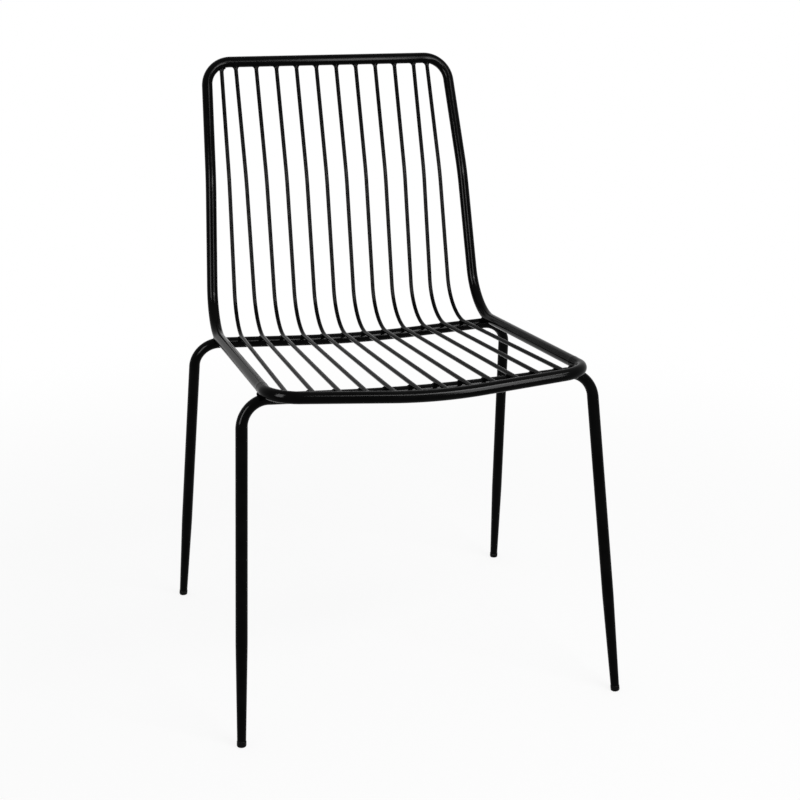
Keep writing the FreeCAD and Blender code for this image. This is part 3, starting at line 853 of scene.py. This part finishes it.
for end in ("front", "rear"):
    for side, sideName in ((-1, "left"), (1, "right")):
        node = "foot_plug_%s_%s" % (end, sideName)
        addPiece(node + "_skin", footMesh(node + "_skin", frames[end], side), node, footCoat)
print("feet made")


# Camera where the photograph's stood
cameraSize = {
    "place": (-0.57016, -1.99228, 1.01973),
    "yaw": 16.829,                # degrees: right of straight ahead, down, and rolled
    "pitch": 17.384,
    "roll": 0.118,
    "focal": 1485.43,             # in pixels of the frame's width
    "width": 800,
    "sensor": 36.0,
    "clipEnd": 200,
}


def addCamera():
    yaw, pitch, roll = (math.radians(cameraSize[k]) for k in ("yaw", "pitch", "roll"))
    ahead = Vector((math.sin(yaw) * math.cos(pitch), math.cos(yaw) * math.cos(pitch), -math.sin(pitch)))
    right = Vector((math.cos(yaw), -math.sin(yaw), 0))
    up = right.cross(ahead)
    rightRolled = right * math.cos(roll) + up * math.sin(roll)
    upRolled = up * math.cos(roll) - right * math.sin(roll)
    camera = bpy.data.objects.new("camera", bpy.data.cameras.new("camera"))
    bpy.context.scene.collection.objects.link(camera)
    camera.data.sensor_width = cameraSize["sensor"]
    camera.data.lens = cameraSize["focal"] * cameraSize["sensor"] / cameraSize["width"]
    turn = Matrix((rightRolled, upRolled, -ahead)).transposed().to_4x4()
    camera.matrix_world = Matrix.Translation(cameraSize["place"]) @ turn
    camera.data.clip_end = cameraSize["clipEnd"]
    bpy.context.scene.camera = camera


# Floor, world and lamps. The world and the top box light the chair at a plain level; the other boxes
# show in reflections only, as the streaks on the tubes
studio = {
    "floorSize": 40.0,
    "floorColour": (0.90, 0.90, 0.90, 1.0),
    "floorRoughness": 0.9,
    "floorGlow": 0.84,            # share of plain white that the camera sees in it near the chair
    "floorFade": (0.6, 1.8),      # and all white beyond this distance
    "worldStrength": 0.70,
    "boxes": [
        {"name": "right box", "place": (0.34, -0.78, 0.87), "aim": (0.02, 0.10, 0.72),
         "size": (0.22, 0.74), "watts": 18.6, "lightsMatt": False},
        {"name": "left box", "place": (-0.92, -0.55, 0.87), "aim": (0.0, 0.15, 0.70),
         "size": (0.33, 0.70), "watts": 26.0, "lightsMatt": False},
        {"name": "rail strip", "place": (0.30, -0.78, 1.05), "aim": (0.0, 0.28, 0.84),
         "size": (0.64, 0.10), "watts": 8.2, "lightsMatt": False},
        {"name": "top box", "place": (0.78, -1.35, 2.0), "aim": (0.05, -0.25, 0.46),
         "size": (1.05, 0.24), "watts": 18.5, "lightsMatt": True},
    ],
}


def backgroundRays(tree):  # 1 for what the camera sees, straight or in a reflection or through glass
    rays = [tree.add("ShaderNodeLightPath", out=name)
            for name in ("Is Camera Ray", "Is Glossy Ray", "Is Transmission Ray")]
    return rays[0].calc("MAXIMUM", rays[0].calc("MAXIMUM", rays[0], rays[1]), rays[2])


def addFloor():
    half = studio["floorSize"] / 2
    mesh = bpy.data.meshes.new("floor")
    corners = [(-half, -half, 0), (half, -half, 0), (half, half, 0), (-half, half, 0)]
    mesh.from_pydata(corners, [], [(0, 1, 2, 3)])
    floor = bpy.data.objects.new("floor", mesh)
    bpy.context.scene.collection.objects.link(floor)
    material, tree = newMaterial("pale floor")
    matt = tree.add("ShaderNodeBsdfPrincipled", inputs={
        "Base Color": studio["floorColour"], "Roughness": studio["floorRoughness"],
        "Specular IOR Level": 0.0})
    white = tree.add("ShaderNodeEmission", inputs={"Color": (1, 1, 1, 1), "Strength": 1.0})
    place = tree.add("ShaderNodeTexCoord", out="Object")
    away = tree.add("ShaderNodeVectorMath", {"operation": "LENGTH"}, {0: place}, "Value")
    glow = studio["floorGlow"] + (1 - studio["floorGlow"]) * away.eased(*studio["floorFade"])
    shader = tree.add("ShaderNodeMixShader", inputs={0: glow * backgroundRays(tree), 1: matt, 2: white})
    finishMaterial(tree, shader)
    mesh.materials.append(material)


def addWorld():
    world = bpy.data.worlds.new("studio")
    world.use_nodes = True
    world.node_tree.nodes.clear()
    tree = Sock(world.node_tree)
    strength = studio["worldStrength"] + backgroundRays(tree) * (1 - studio["worldStrength"])
    background = tree.add("ShaderNodeBackground", inputs={"Color": (1, 1, 1, 1), "Strength": strength})
    tree.add("ShaderNodeOutputWorld", inputs={"Surface": background})
    bpy.context.scene.world = world


def addLamps():
    for box in studio["boxes"]:
        light = bpy.data.lights.new(box["name"], "AREA")
        light.shape = "RECTANGLE"
        light.size, light.size_y = box["size"]
        light.energy = box["watts"]
        lamp = bpy.data.objects.new(box["name"], light)
        lamp.visible_camera = False
        lamp.visible_diffuse = box["lightsMatt"]
        lamp.location = box["place"]
        lamp.rotation_mode = "QUATERNION"
        lamp.rotation_quaternion = (Vector(box["aim"]) - Vector(box["place"])).to_track_quat("-Z", "Y")
        bpy.context.scene.collection.objects.link(lamp)


addCamera()
addFloor()
addWorld()
addLamps()
bpy.context.scene.view_settings.view_transform = "Standard"
print("studio made")
